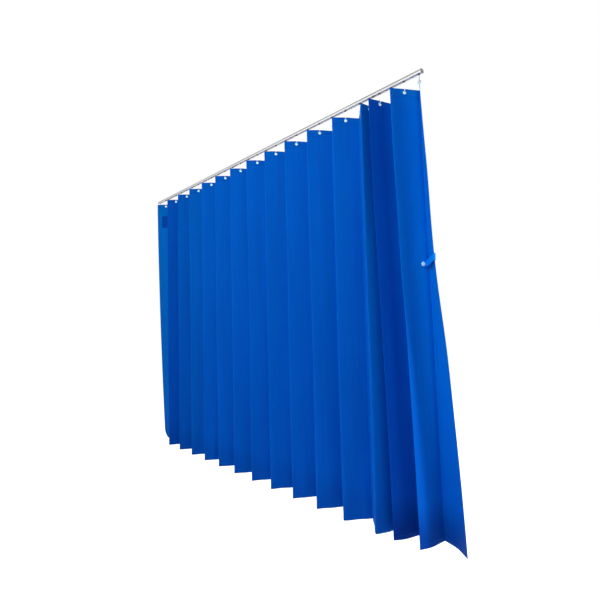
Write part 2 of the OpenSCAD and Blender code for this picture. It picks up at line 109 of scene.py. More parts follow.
class CurtainSizes(bpy.types.PropertyGroup):
    """Sizes of the curtain's cloth, in metres."""

    face_width: FloatProperty(name="Face width", description="Width of the flat cloth between two creases",
                              default=0.14, min=0.08, max=0.3, unit="LENGTH")
    drop: FloatProperty(name="Drop", description="Height of the cloth from top edge to bottom edge",
                        default=2.0, min=1.0, max=3.0, unit="LENGTH")
    cloth_thickness: FloatProperty(name="Cloth thickness", description="Thickness of one layer of cloth",
                                   default=0.0005, min=0.0002, max=0.002, unit="LENGTH")
    band_thickness: FloatProperty(name="Band thickness",
                                  description="Thickness of the doubled cloth in the bands",
                                  default=0.001, min=0.0004, max=0.003, unit="LENGTH")
    top_band: FloatProperty(name="Top band", description="Height of the doubled band at the top edge",
                            default=0.034, min=0.02, max=0.08, unit="LENGTH")
    hem: FloatProperty(name="Hem", description="Height of the doubled hem at the bottom edge",
                       default=0.02, min=0.01, max=0.08, unit="LENGTH")
    side_band: FloatProperty(name="Side band", description="Width of the doubled strip at a free edge",
                             default=0.014, min=0.008, max=0.03, unit="LENGTH")
    eyelet_drop: FloatProperty(name="Eyelet drop",
                               description="Distance of an eyelet's centre below the top edge",
                               default=0.0174, min=0.012, max=0.04, unit="LENGTH")
    eyelet_hole: FloatProperty(name="Eyelet hole",
                               description="Radius of the hole cut in the cloth for an eyelet",
                               default=0.0053, min=0.003, max=0.01, unit="LENGTH")
    crease_round: FloatProperty(name="Crease rounding", description="How far a crease is rounded off",
                                default=0.0028, min=0.0005, max=0.01, unit="LENGTH")
    edge_sag: FloatProperty(name="Edge sag", description="How far the top edge sags between two hooks",
                            default=0.002, min=0.0, max=0.01, unit="LENGTH")
    face_bow: FloatProperty(name="Face bow", description="How far a hanging face bows out of flat",
                            default=0.0035, min=0.0, max=0.01, unit="LENGTH")
    strap_height: FloatProperty(name="Strap height", description="Height of the tie-back strap",
                                default=0.03, min=0.015, max=0.05, unit="LENGTH")
    strap_thickness: FloatProperty(name="Strap thickness", description="Thickness of the tie-back strap",
                                   default=0.0012, min=0.0006, max=0.002, unit="LENGTH")
    strap_sewn: FloatProperty(name="Sewn length",
                              description="Length of the strap that is sewn to the far side",
                              default=0.03, min=0.015, max=0.06, unit="LENGTH")
    strap_tab: FloatProperty(name="Tab length", description="Length of the strap's end that the stud holds",
                             default=0.034, min=0.026, max=0.05, unit="LENGTH")
    stud_seat: FloatProperty(name="Stud seat",
                             description="How far the stud's plates draw the cloth to themselves",
                             default=0.0005, min=-0.005, max=0.005, unit="LENGTH")
    stitch_pitch: FloatProperty(name="Stitch pitch", description="Distance from one stitch to the next",
                                default=0.004, min=0.002, max=0.01, unit="LENGTH")


class CurtainColours(bpy.types.PropertyGroup):
    """Colours of the curtain's pieces."""

    cloth: FloatVectorProperty(name="Cloth", description="Blue of the cloth", subtype="COLOR",
                               size=3, default=(0.0006, 0.09, 0.47), min=0, max=1)
    label: FloatVectorProperty(name="Label", description="Darker blue of the plain label", subtype="COLOR",
                               size=3, default=(0.001, 0.055, 0.36), min=0, max=1)
    strap: FloatVectorProperty(name="Strap", description="Lighter blue of the strap", subtype="COLOR",
                               size=3, default=(0.0006, 0.2, 0.78), min=0, max=1)
    plastic: FloatVectorProperty(name="Hanger plastic", description="Pale plastic of hooks, eyelets and stud",
                                 subtype="COLOR", size=3, default=(0.50, 0.86, 0.92), min=0, max=1)
    glider: FloatVectorProperty(name="Glider", description="Dark plastic of gliders and collars",
                                subtype="COLOR", size=3, default=(0.035, 0.037, 0.042), min=0, max=1)
    track: FloatVectorProperty(name="Track", description="Pale grey powder coat of the track",
                               subtype="COLOR", size=3, default=(0.80, 0.79, 0.77), min=0, max=1)
    cap: FloatVectorProperty(name="End caps", description="Dark grey of the end caps", subtype="COLOR",
                             size=3, default=(0.10, 0.095, 0.09), min=0, max=1)


def sizes():
    return bpy.context.scene.curtain_sizes


def colours():
    return bpy.context.scene.curtain_colours


# Shader maths and materials

class Sock:
    """A node socket that can be used in arithmetic: each operation adds the node that does it."""

    def __init__(self, net, socket):
        self.net, self.socket = net, socket

    def _math(self, op, *values, **settings):
        return self.net.node("ShaderNodeMath", dict(operation=op, **settings), *values)[0]

    def __add__(self, o):
        return self._math("ADD", self, o)

    __radd__ = __add__

    def __sub__(self, o):
        return self._math("SUBTRACT", self, o)

    def __rsub__(self, o):
        return self._math("SUBTRACT", o, self)

    def __mul__(self, o):
        return self._math("MULTIPLY", self, o)

    __rmul__ = __mul__

    def __truediv__(self, o):
        return self._math("DIVIDE", self, o)

    def __gt__(self, o):
        return self._math("GREATER_THAN", self, o)

    def sin(self):
        return self._math("SINE", self)

    def fract(self):
        return self._math("FRACT", self)

    def abs(self):
        return self._math("ABSOLUTE", self)

    def clamp(self):
        return self._math("ADD", self, 0.0, use_clamp=True)

    def ramp(self, low, high):
        """0 at low, 1 at high, smooth between."""
        smooth_step = dict(interpolation_type="SMOOTHSTEP")
        return self.net.node("ShaderNodeMapRange", smooth_step, self, low, high, 0.0, 1.0)[0]

    def curve(self, points):
        """Follows (place, value) points, smooth between and 0 before the first place."""
        total = None
        for (a, va), (b, vb) in zip(points, points[1:]):
            if va != vb:
                step = self.ramp(a, b) * (vb - va)
                total = step if total is None else total + step
        return total


class Net:
    """The node tree of a material or of the world."""

    def __init__(self, owner):
        self.owner = owner
        owner.use_nodes = True
        self.tree = owner.node_tree
        self.tree.nodes.clear()
        self.count = 0

    def node(self, kind, settings, *values, **named):
        """Adds a node: its settings first, then the values or links of its sockets. Returns its outputs."""
        n = self.tree.nodes.new(kind)
        n.location = (220 * (self.count % 8), -180 * (self.count // 8))
        self.count += 1
        for key, value in settings.items():
            setattr(n, key, value)
        pairs = list(zip([s for s in n.inputs if s.enabled], values))
        pairs += [(n.inputs[k.replace("_", " ")], v) for k, v in named.items()]
        for socket, value in pairs:
            if isinstance(value, Sock):
                self.tree.links.new(value.socket, socket)
            elif value is not None:
                socket.default_value = value
        return [Sock(self, s) for s in n.outputs if s.enabled]

    def mix(self, factor, a, b, blend="MIX"):
        a, b = [(*x, 1.0) if isinstance(x, (tuple, list)) and len(x) == 3 else x for x in (a, b)]
        return self.node("ShaderNodeMix", dict(data_type="RGBA", blend_type=blend), factor, a, b)[0]

    def noise(self, vector, scale, detail=3.0, rough=0.5):
        return self.node("ShaderNodeTexNoise", {}, Vector=vector, Scale=scale, Detail=detail,
                         Roughness=rough)[0]

    def cloth_place(self):
        """Place on the cloth in metres: along it from the leading edge, and up from its top edge."""
        return self.node("ShaderNodeTexCoord", {})[2]

    def room_place(self):
        """Place in the room in metres, before a joint moves the piece."""
        return self.node("ShaderNodeTexCoord", {})[3]

    def stretch(self, vector, scale, place=(0.0, 0.0, 0.0)):
        return self.node("ShaderNodeMapping", {}, Vector=vector, Location=place, Scale=scale)[0]

    def split(self, vector):
        return self.node("ShaderNodeSeparateXYZ", {}, vector)

    def bump(self, height, strength, distance, normal=None):
        named = dict(Height=height, Strength=strength, Distance=distance)
        if normal is not None:
            named["Normal"] = normal
        return self.node("ShaderNodeBump", {}, **named)[0]

    def surface(self, **named):
        shader = self.node("ShaderNodeBsdfPrincipled", {}, **named)[0]
        self.node("ShaderNodeOutputMaterial", {}, shader)

    def shows_background(self):
        """1 for a ray of the camera, a reflection or glass, which sees the background as white."""
        ray = self.node("ShaderNodeLightPath", {})
        return (ray[0] + ray[3] + ray[6]).clamp()


def material_net(name):
    return Net(bpy.data.materials.new(name))


def shade(colour, factor):
    """A lighter or darker tone of a colour."""
    return tuple(min(1.0, c * factor) for c in colour)


def painted_fold_light_and_shade(net, face, v):
    """A colour that multiplies the cloth's own: light and shade painted from face to face over the pleats,
    set to bring renders near the photograph. The faces are counted from the leading edge, and v is minus the
    depth."""
    # Painted shade deepens parts of the parked folds, and painted light makes other parts lighter, the
    # lighter ones most of all at mid height.
    parked = face.curve(((23.9, 0.0), (26.0, 1.0), (26.4, 1.0), (27.0, 0.3), (27.9, 0.3), (28.02, 0.0)))
    painted_light = face.curve(((23.9, 0.0), (24.1, 0.3), (24.9, 0.15), (26.0, 0.0), (26.4, 0.0), (27.0, 0.5),
                        (27.9, 0.5), (28.02, 0.15), (28.25, 0.0), (28.8, 1.05), (28.97, 0.4)))
    painted_light = painted_light * v.curve(((-1.95, 0.0), (-1.2, 1.0), (-0.8, 1.0), (-0.3, 0.55)))
    # Painted light makes the leading face lighter, and painted shade makes the next ones deeper.
    lead_light_and_shade_green = face.curve(((-0.2, 0.0), (-0.1, 0.28), (0.97, 0.28), (1.97, -0.28), (2.9, -0.28),
                             (3.97, -0.11), (4.9, -0.11), (5.97, 0.0)))
    lead_light_and_shade_blue = face.curve(((0.97, 0.0), (1.97, -0.14), (2.9, -0.14), (3.97, -0.1), (4.9, -0.1),
                            (5.97, -0.05), (6.9, -0.05), (7.97, 0.0)))
    # Painted shade: the cloth is drawn deeper over its lowest fifth of a metre, most of all on the parked
    # folds.
    hem = (1.0 - v.ramp(-1.99, -1.79)) * (face.ramp(24.5, 26.0) * 0.62 + 0.38)
    green = (1.0 - parked * 0.36 + painted_light + lead_light_and_shade_green) * (1.0 - hem * 0.58)
    blue = (1.0 - parked * 0.15 + painted_light * 0.42 + lead_light_and_shade_blue) * (1.0 - hem * 0.45)
    return net.node("ShaderNodeCombineColor", {}, 1.0, green, blue)[0]


def cloth_material(name, colour, streaks=1.0, painted_fold_shading=True):
    """Woven polyester: soft vertical streaks, slow patches, yarns in the bump and a faint sheen."""
    net = material_net(name)
    uv = net.cloth_place()
    u, v, _ = net.split(uv)
    slow = net.noise(net.stretch(uv, (5.0, 1.2, 1.0)), 1.0, 3.0, 0.55)
    streak = net.noise(net.stretch(uv, (46.0, 0.7, 1.0), (3.1, 1.7, 0.0)), 1.0, 4.0, 0.6)
    fine = net.noise(net.stretch(uv, (420.0, 9.0, 1.0)), 1.0, 2.0, 0.5)
    tone = 0.5 + (slow - 0.5) * 0.55 + (streak - 0.5) * (0.75 * streaks) + (fine - 0.5) * 0.14
    # Painted light and shade: the cloth is drawn a little lighter up at the hooks and a little deeper towards
    # the hem, as light falls from above.
    height = v.ramp(-2.0, 0.0)
    tone = (tone + (height - 0.45) * 0.24).clamp()
    base = net.mix(tone, shade(colour, 0.80), shade(colour, 1.22))
    base = net.mix(1.0, base, net.mix(height, (1.0, 0.95, 1.0), (1.0, 1.02, 0.94)), "MULTIPLY")
    face = u / sizes().face_width
    # Light and shade painted from face to face over the pleats.
    if painted_fold_shading:
        base = net.mix(1.0, base, painted_fold_light_and_shade(net, face, v), "MULTIPLY")
    # The cloth is drawn darker within a few millimetres of its top and bottom edges.
    turned = v.ramp(-0.005, -0.002) + (1.0 - v.ramp(0.002 - sizes().drop, 0.005 - sizes().drop))
    base = net.mix((turned * 0.5).clamp(), base, shade(colour, 0.5))
    # A pale line runs along each crease: partly rubbed wear, partly a painted highlight where the crease
    # catches light.
    crease = ((face + 0.5).fract() - 0.5).abs()
    wear_and_highlight = net.noise(net.stretch(uv, (60.0, 14.0, 1.0)), 1.0, 3.0, 0.6)
    wear_and_highlight = (1.0 - crease.ramp(0.0, 0.022)) * 0.09 * wear_and_highlight
    base = net.mix(wear_and_highlight.clamp(), base, shade(colour, 2.0))
    yarn_pitch = 0.0009
    warp = (u * (2.0 * math.pi / yarn_pitch)).sin()
    weft = (v * (2.0 * math.pi / yarn_pitch)).sin()
    weave = (warp * weft) * 0.5 + 0.5
    soft = net.noise(net.stretch(uv, (60.0, 10.0, 1.0)), 1.0, 3.0, 0.5)
    normal = net.bump(soft, 0.25, 0.0012)
    normal = net.bump(weave, 0.35, 0.00012, normal)
    rough = 0.66 + (weave - 0.5) * 0.06 + (slow - 0.5) * 0.1
    net.surface(Base_Color=base, Roughness=rough, Normal=normal, Sheen_Weight=0.1, Sheen_Roughness=0.5,
                Sheen_Tint=(*shade(colour, 1.6), 1.0), Specular_IOR_Level=0.08,
                Specular_Tint=(0.05, 0.5, 0.9, 1.0), Subsurface_Weight=0.4,
                Subsurface_Radius=(1.0, 1.0, 1.0), Subsurface_Scale=0.0015)


def webbing_material(name, colour):
    """Narrow woven tape with raised ribs across it."""
    net = material_net(name)
    uv = net.cloth_place()
    u = net.split(uv)[0]
    rib_pitch = 0.0016
    rib = (u * (2.0 * math.pi / rib_pitch)).sin() * 0.5 + 0.5
    patch = net.noise(net.stretch(uv, (40.0, 40.0, 1.0)), 1.0, 3.0, 0.5)
    tone = (0.35 + (patch - 0.5) * 0.6 + rib * 0.25).clamp()
    base = net.mix(tone, shade(colour, 0.82), shade(colour, 1.2))
    net.surface(Base_Color=base, Roughness=0.62 + (patch - 0.5) * 0.1, Normal=net.bump(rib, 0.5, 0.0002),
                Sheen_Weight=0.05, Sheen_Tint=(*shade(colour, 1.2), 1.0), Specular_IOR_Level=0.1,
                Specular_Tint=(0.05, 0.6, 1.0, 1.0))


def thread_material(name, colour):
    """Twisted sewing thread."""
    net = material_net(name)
    twist = net.noise(net.room_place(), 2400.0, 2.0, 0.5)
    base = net.mix(twist, shade(colour, 0.9), shade(colour, 1.5))
    net.surface(Base_Color=base, Roughness=0.45 + (twist - 0.5) * 0.2, Normal=net.bump(twist, 0.3, 0.0001))


def hanger_material(name, pale, dark, last_x):
    """One material over a hanger: dark glider and collar up at the track, clear hook and pale eyelet below.
    The last hook before the end cap, past last_x, is painted dark for the shade it hangs in."""
    net = material_net(name)
    place = net.room_place()
    x, _, z = net.split(place)
    collar, hook_end, eyelet_top = -0.0205, -0.056, -0.0580
    # Painted shade: past last_x the hook is drawn as dark as the glider and collar.
    dark_plastic_and_painted_shade = (z.ramp(collar - 0.0002, collar + 0.0002) + (x > last_x) * (z > hook_end)).clamp()
    cloud = net.noise(place, 90.0, 3.0, 0.5)
    grain = net.noise(place, 2600.0, 2.0, 0.5)
    clear = net.mix(z.ramp(eyelet_top - 0.001, eyelet_top), pale, (0.93, 0.95, 0.96))
    clear = net.mix(1.0, clear, net.mix(cloud, (0.93, 0.93, 0.93), (1.0, 1.0, 1.0)), "MULTIPLY")
    base = net.mix(dark_plastic_and_painted_shade, clear, net.mix(cloud, shade(dark, 0.8), shade(dark, 1.4)))
    rough = 0.26 + (cloud - 0.5) * 0.08 + dark_plastic_and_painted_shade * 0.16
    net.surface(Base_Color=base, Roughness=rough, Normal=net.bump(grain, 0.12, 0.00008), Coat_Weight=0.12)


def powder_material(name, colour):
    """Powder coat: fine orange peel, a slow change of gloss, grime on the lips, painted shade high up on the
    sides.
    """
    net = material_net(name)
    place = net.room_place()
    peel = net.noise(place, 900.0, 2.0, 0.5)
    cloud = net.noise(net.stretch(place, (3.0, 30.0, 30.0)), 1.0, 3.0, 0.55)
    _, y, z = net.split(place)
    lips = 1.0 - z.ramp(-0.0142, -0.0118)
    # Painted shade: a dark band high up on the sides, in blotches.
    painted_shade_band = z.ramp(-0.0102, -0.0074) * (cloud * 0.6 + 0.5)
    base = net.mix((cloud * 0.5 + lips * 0.2).clamp(), shade(colour, 1.04), shade(colour, 0.8))
    base = net.mix(painted_shade_band.clamp(), base, shade(colour, 0.24))
    # Painted light: between the walls, inside the channel, the coat is drawn pale against the shade there.
    beyond_painted_light = y.abs().ramp(0.0088, 0.0092)
    base = net.mix(beyond_painted_light, (0.95, 0.95, 0.94), base)
    net.surface(Base_Color=base, Roughness=0.36 + (cloud - 0.5) * 0.12, Normal=net.bump(peel, 0.14, 0.0001),
                Coat_Weight=0.08)


def moulded_material(name, colour, rough=0.42):
    """Moulded plastic with a fine grain."""
    net = material_net(name)
    place = net.room_place()
    cloud = net.noise(place, 60.0, 3.0, 0.5)
    grain = net.noise(place, 1800.0, 2.0, 0.6)
    base = net.mix(cloud, shade(colour, 0.85), shade(colour, 1.2))
    net.surface(Base_Color=base, Roughness=rough + (cloud - 0.5) * 0.12, Normal=net.bump(grain, 0.2, 0.0001))


# The cloth's shape

def chance(n, m=0.0):
    """A fixed number from 0 to 1 for each n."""
    x = np.sin(np.asarray(n, float) * 12.9898 + m * 78.233) * 43758.5453
    return x - np.floor(x)


def smooth(t):
    """0 below 0, 1 above 1, smooth between."""
    t = np.clip(t, 0.0, 1.0)
    return t * t * (3 - 2 * t)


def plan_of_creases():
    """Plan points of all creases at the top edge and at the bottom edge, from the leading edge on."""
    ends = [JOINTS["crease_%02d" % k]["pos_m"][:2] for k in range(1, PANELS)]
    step = ends[0][0] - ends[1][0]
    depth = abs(ends[0][1])
    first = (ends[0][0] + step, -depth)
    last = (ends[-1][0] - step, -depth if PANELS % 2 == 0 else depth)
    moving = [last] + [tuple(p) for p in reversed(ends)] + [first]
    along = np.cumsum(STACK_STEPS)
    along_low = np.cumsum(STACK_STEPS_LOW)
    top = moving + [(first[0] + x, y) for x, y in zip(along, STACK_OFFSETS)]
    low = moving + [(first[0] + x, y) for x, y in zip(along_low, STACK_OFFSETS_LOW)]
    return np.array(top), np.array(low)


CREASE_TOP, CREASE_LOW = plan_of_creases()
# The last hook, drawn dark as painted shade, hangs farther along the track than this.
LAST_HOOK_X = CREASE_TOP[FACES - 1][0] + 0.012
TOP_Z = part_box("panel_01")[1][2]


def spread(d):
    """How far the stack has opened from its top plan to its bottom plan at depth d."""
    s = sizes()
    a = np.clip((d - s.top_band) / (s.drop - s.top_band), 0.0, 1.0)
    return a * a * (3 - 2 * a) * 0.4 + a * 0.6


def loose(k, d):
    """1 where the cloth hangs freely, 0 beside the strap, where the strap and its stud hold it."""
    return np.where(np.asarray(k) >= FACES - 2, smooth((np.abs(d - STRAP_DROP) - 0.04) / 0.2), 1.0)


def between(a, b, share):
    """a at share 0, b at share 1."""
    return a * (1 - share) + b * share


def crease_point(k, d):
    """Plan point of crease k at depth d, with the small unevenness of cloth that hangs."""
    k = np.asarray(k)
    share = spread(d)[:, None]
    p = between(CREASE_TOP[k], CREASE_LOW[k], share)
    # The strap pulls the free edge in.
    u = np.clip((d - STRAP_DROP) / PULL_REACH, -1.0, 1.0)
    p = p + EDGE_PULL * ((1 - u * u) ** 2 * (k == FACES))[:, None]
    fall = smooth((d - 0.06) / 0.6)
    dx = (chance(k, 1) - 0.5) * 0.006 * fall + 0.0016 * np.sin(d * 3.1 + 7 * chance(k, 2)) * fall
    dy = np.sign(p[:, 1]) * 0.0008 * (1 + np.sin(d * 4.3 + 9 * chance(k, 3))) * fall
    inner = (k > 0) * (k < FACES) * loose(k, d)
    # The leading face has only one neighbour, so it swings open about its crease towards the hem.
    pivot = between(CREASE_TOP[1], CREASE_LOW[1], share)
    turn = np.radians(LEAD_SWING) * np.maximum(d - SWING_START, 0.0) * (k == 0)
    arm = p - pivot
    p = pivot + np.stack([arm[:, 0] * np.cos(turn) + arm[:, 1] * np.sin(turn),
                          arm[:, 1] * np.cos(turn) - arm[:, 0] * np.sin(turn)], 1)
    # The free corner at the leading edge is turned in.
    low = np.clip((d - sizes().drop + CORNER_HEIGHT) / CORNER_HEIGHT, 0, 1) ** 2 * (k == 0)
    return p + np.stack([dx * inner, dy * inner], 1) + CORNER_TURN * low[:, None]


def unit(v):
    """Each row at length 1."""
    return v / np.maximum(np.linalg.norm(v, axis=1, keepdims=True), 1e-9)


def right_of(v):
    """Plan directions turned a quarter to the right."""
    return np.stack([v[:, 1], -v[:, 0]], 1)


def bisector(k, d):
    """Direction in plan from crease k into the fold, zero at a free edge."""
    a = crease_point(np.maximum(k - 1, 0), d)
    b = crease_point(k, d)
    c = crease_point(np.minimum(k + 1, FACES), d)
    inside = ((k > 0) & (k < FACES)).astype(float)[:, None]
    return unit(unit(a - b) + unit(c - b)) * inside


def cloth_point(a, d):
    """Point of the cloth's middle layer at distance a from the leading edge and depth d."""
    s = sizes()
    w = s.face_width
    f = np.clip(np.floor(a / w + 1e-9).astype(int), 0, FACES - 1)
    t = a / w - f
    rounding = s.crease_round * (0.75 + 0.75 * smooth(d / s.drop))
    into_a, into_b = bisector(f, d), bisector(f + 1, d)
    ca = crease_point(f, d) - into_a * (0.8 * rounding)[:, None]
    cb = crease_point(f + 1, d) - into_b * (0.8 * rounding)[:, None]
    way = unit(cb - ca)
    p = ca + (cb - ca) * t[:, None]
    for into, dist, sign in ((into_a, t * w, 1.0), (into_b, (1 - t) * w, -1.0)):
        k = np.abs((into * way).sum(1))
        pull = np.sqrt((k * dist) ** 2 + rounding ** 2) - k * dist
        p = p + into * pull[:, None]
    stack = f >= PANELS
    share = spread(d)
    stack_bow = np.array((0.0,) * PANELS + STACK_BOWS)[f] * share
    fall = smooth((d - 0.07) / 0.5) * loose(f, d)
    free = (chance(f, 4) - 0.35) * s.face_bow + 0.0012 * np.sin(d * 5.0 + 6.3 * chance(f, 5))
    hem = 0.0025 * smooth((d - s.drop + 0.35) / 0.35) * np.sin(6.3 * chance(f, 6) + 2.2 * math.pi * t)
    bow = np.where(stack, stack_bow, 0.0) + (free * fall + hem) * np.where(stack, 0.6, 1.0)
    p = p + right_of(way) * (bow * np.sin(math.pi * t))[:, None]
    # The stud's plates clamp the cloth where the frame has them.
    away = ((t - STUD_SHARE) * w) ** 2 + (d - STRAP_DROP) ** 2
    near = np.exp(-away / 0.03 ** 2) * (f == FACES - 2)
    p = p + right_of(way) * (near * s.stud_seat)[:, None]
    sag = s.edge_sag * (0.5 - 0.5 * np.cos(2 * math.pi * t)) - s.edge_sag
    z = TOP_Z - d + sag * (1 - 0.6 * d / s.drop) * np.where(stack, 0.3, 1.0)
    return np.column_stack([p, z])


def cloth_normal(a, d):
    """Unit normal of the cloth on the room side."""
    e = 1e-4
    last = sizes().face_width * FACES
    along = cloth_point(np.minimum(a + e, last - 1e-7), d) - cloth_point(np.maximum(a - e, 0.0), d)
    down = cloth_point(a, np.minimum(d + e, sizes().drop)) - cloth_point(a, np.maximum(d - e, 0.0))
    return unit(np.cross(down, along))


def eyelet_places():
    """Distance from the leading edge of each eyelet's centre."""
    w = sizes().face_width
    places = [w * (i + 0.5) for i in range(PANELS)]
    for k in range(len(STACK_STEPS)):
        y0, y1 = CREASE_TOP[PANELS + k][1], CREASE_TOP[PANELS + k + 1][1]
        places.append(w * (PANELS + k - y0 / (y1 - y0)))
    return places


def columns(a0, a1):
    """Distances along the cloth of a piece's columns: close at the creases and at the eyelets."""
    w = sizes().face_width
    found = [a0, a1]
    for k in range(int(a0 / w) - 1, int(a1 / w) + 2):
        for off in (0.0, 0.002, 0.004, 0.007, 0.012, 0.020, 0.032, 0.046):
            found += [k * w - off, k * w + off]
    holes = [e for e in eyelet_places() if a0 - 1e-6 <= e <= a1 + 1e-6]
    for e in holes:
        found = [x for x in found if abs(x - e) > HALF_BLOCK + 0.004 or x in (a0, a1)]
        found += [e + CELL * i for i in range(-BLOCK, BLOCK + 1)]
    for k in (0, FACES):
        band = k * w + (sizes().side_band if k == 0 else -sizes().side_band)
        found += [band, band + 0.0004]
    kept = sorted({round(x, 6) for x in found if a0 - 1e-9 <= x <= a1 + 1e-9})
    return kept, holes


def rows():
    """Depths of a piece's rows."""
    s = sizes()
    found = [0.0, s.top_band, s.top_band + 0.0005, s.drop - s.hem, s.drop - s.hem - 0.0005, s.drop]
    found += [s.eyelet_drop + CELL * i for i in range(-BLOCK, BLOCK + 1)]
    found += [s.top_band + 0.012, s.top_band + 0.03]
    found += list(np.linspace(s.top_band + 0.06, s.drop - 0.07, 40))
    found += [s.drop - 0.05, s.drop - 0.035, s.drop - 0.01]
    return sorted({round(x, 6) for x in found})


def flat_mesh(a0, a1):
    """Flat quads of a stretch of cloth, with a round hole at each eyelet. Returns points (a, d) and faces."""
    cols, holes = columns(a0, a1)
    lines = rows()
    s = sizes()
    ids, points, faces = {}, [], []

    def at(a, d):
        key = (round(a, 6), round(d, 6))
        if key not in ids:
            ids[key] = len(points)
            points.append(key)
        return ids[key]

    def in_block(a, d):
        return any(abs(a - e) < HALF_BLOCK and abs(d - s.eyelet_drop) < HALF_BLOCK for e in holes)

    for i in range(len(cols) - 1):
        for j in range(len(lines) - 1):
            if in_block((cols[i] + cols[i + 1]) / 2, (lines[j] + lines[j + 1]) / 2):
                continue
            faces.append((at(cols[i], lines[j + 1]), at(cols[i + 1], lines[j + 1]),
                          at(cols[i + 1], lines[j]), at(cols[i], lines[j])))
    steps = range(-BLOCK, BLOCK)
    loop = [(BLOCK, -i) for i in steps] + [(-i, -BLOCK) for i in steps]
    loop += [(-BLOCK, i) for i in steps] + [(i, BLOCK) for i in steps]
    for e in holes:
        ring = [(e + x * CELL, s.eyelet_drop + y * CELL) for x, y in loop]
        inside = [a0 - 1e-6 <= x <= a1 + 1e-6 for x, _ in ring]
        for i in range(len(ring)):
            j = (i + 1) % len(ring)
            if not (inside[i] and inside[j]):
                continue
            # A piece that ends at the eyelet's middle has no cloth along that line.
            if abs(ring[i][0] - e) < 1e-6 and abs(ring[j][0] - e) < 1e-6:
                continue
            levels = []
            for share in (0.0, 0.3, 0.62, 1.0):
                pair = []
                for x, y in (ring[i], ring[j]):
                    away = math.hypot(x - e, y - s.eyelet_drop)
                    keep = 1 - share + share * s.eyelet_hole / away
                    pair.append(at(e + (x - e) * keep, s.eyelet_drop + (y - s.eyelet_drop) * keep))
                levels.append(pair)
            for (p, q), (r, t) in zip(levels, levels[1:]):
                faces.append((p, q, t, r))
    return np.array(points), faces


def thickness(a, d):
    """Thickness of the cloth, doubled in its bands."""
    s = sizes()
    last = s.face_width * FACES
    doubled = (d <= s.top_band + 1e-6) | (d >= s.drop - s.hem - 1e-6) | (a <= s.side_band + 1e-6)
    doubled |= a >= last - s.side_band - 1e-6
    return np.where(doubled, s.band_thickness, s.cloth_thickness)


def stitches(a0, a1):
    """Ends of each stitch of the seams on a stretch of cloth, as (a, d) pairs."""
    s = sizes()
    found = []
    n = int(round((a1 - a0) / s.stitch_pitch))
    holes = eyelet_places()
    for d in (0.0035, s.top_band - 0.003, s.drop - s.hem + 0.0025):
        for i in range(n):
            a = a0 + (i + 0.5) * s.stitch_pitch
            near = min(abs(a - e) for e in holes)
            if math.hypot(near, d - s.eyelet_drop) > 0.0105:
                found.append(((a - 0.35 * s.stitch_pitch, d), (a + 0.35 * s.stitch_pitch, d)))
    last = s.face_width * FACES
    for a in (s.side_band - 0.0025, last - s.side_band + 0.0025):
        if a0 <= a <= a1:
            for i in range(int((s.drop - 0.06) / s.stitch_pitch)):
                d = 0.04 + i * s.stitch_pitch
                found.append(((a, d), (a, d + 0.7 * s.stitch_pitch)))
    return found


def grid(cols, lines):
    """Flat quads between columns and lines, as points (a, d) and faces."""
    n = len(lines)
    faces = [(i * n + j + 1, (i + 1) * n + j + 1, (i + 1) * n + j, i * n + j)
             for i in range(len(cols) - 1) for j in range(n - 1)]
    return np.array([(a, d) for a in cols for d in lines]), faces


def threads(seams, place, normal, thick, first):
    """Points, faces and uv of stitches on both sides of the cloth: thin ridges with their ends sunk in."""
    ends = np.array(seams)
    u0, u1 = ends[:, 0], ends[:, 1]
    way = (u1 - u0) / np.linalg.norm(u1 - u0, axis=1, keepdims=True)
    side = np.stack([-way[:, 1], way[:, 0]], 1) * THREAD_HALF
    corners = [u0 - side, u0 + side, u1 - side, u1 + side, between(u0, u1, 0.28), between(u0, u1, 0.72)]
    points, faces, uvs = [], [], []
    m = len(seams)
    for face in (1.0, -1.0):
        for i, c in enumerate(corners):
            lift = thick(c[:, 0], c[:, 1]) / 2 + (THREAD_OUT if i > 3 else -THREAD_IN)
            points.append(place(c[:, 0], c[:, 1]) + normal(c[:, 0], c[:, 1]) * (face * lift)[:, None])
            uvs.append(c * (1, -1))
        for i in range(m):
            v = [first + k * m + i for k in range(6)]
            quads = [(v[0], v[2], v[5], v[4]), (v[1], v[4], v[5], v[3]), (v[0], v[4], v[1]),
                     (v[2], v[3], v[5]), (v[0], v[1], v[3], v[2])]
            faces += [q if face < 0 else tuple(reversed(q)) for q in quads]
        first += 6 * m
    return points, faces, uvs


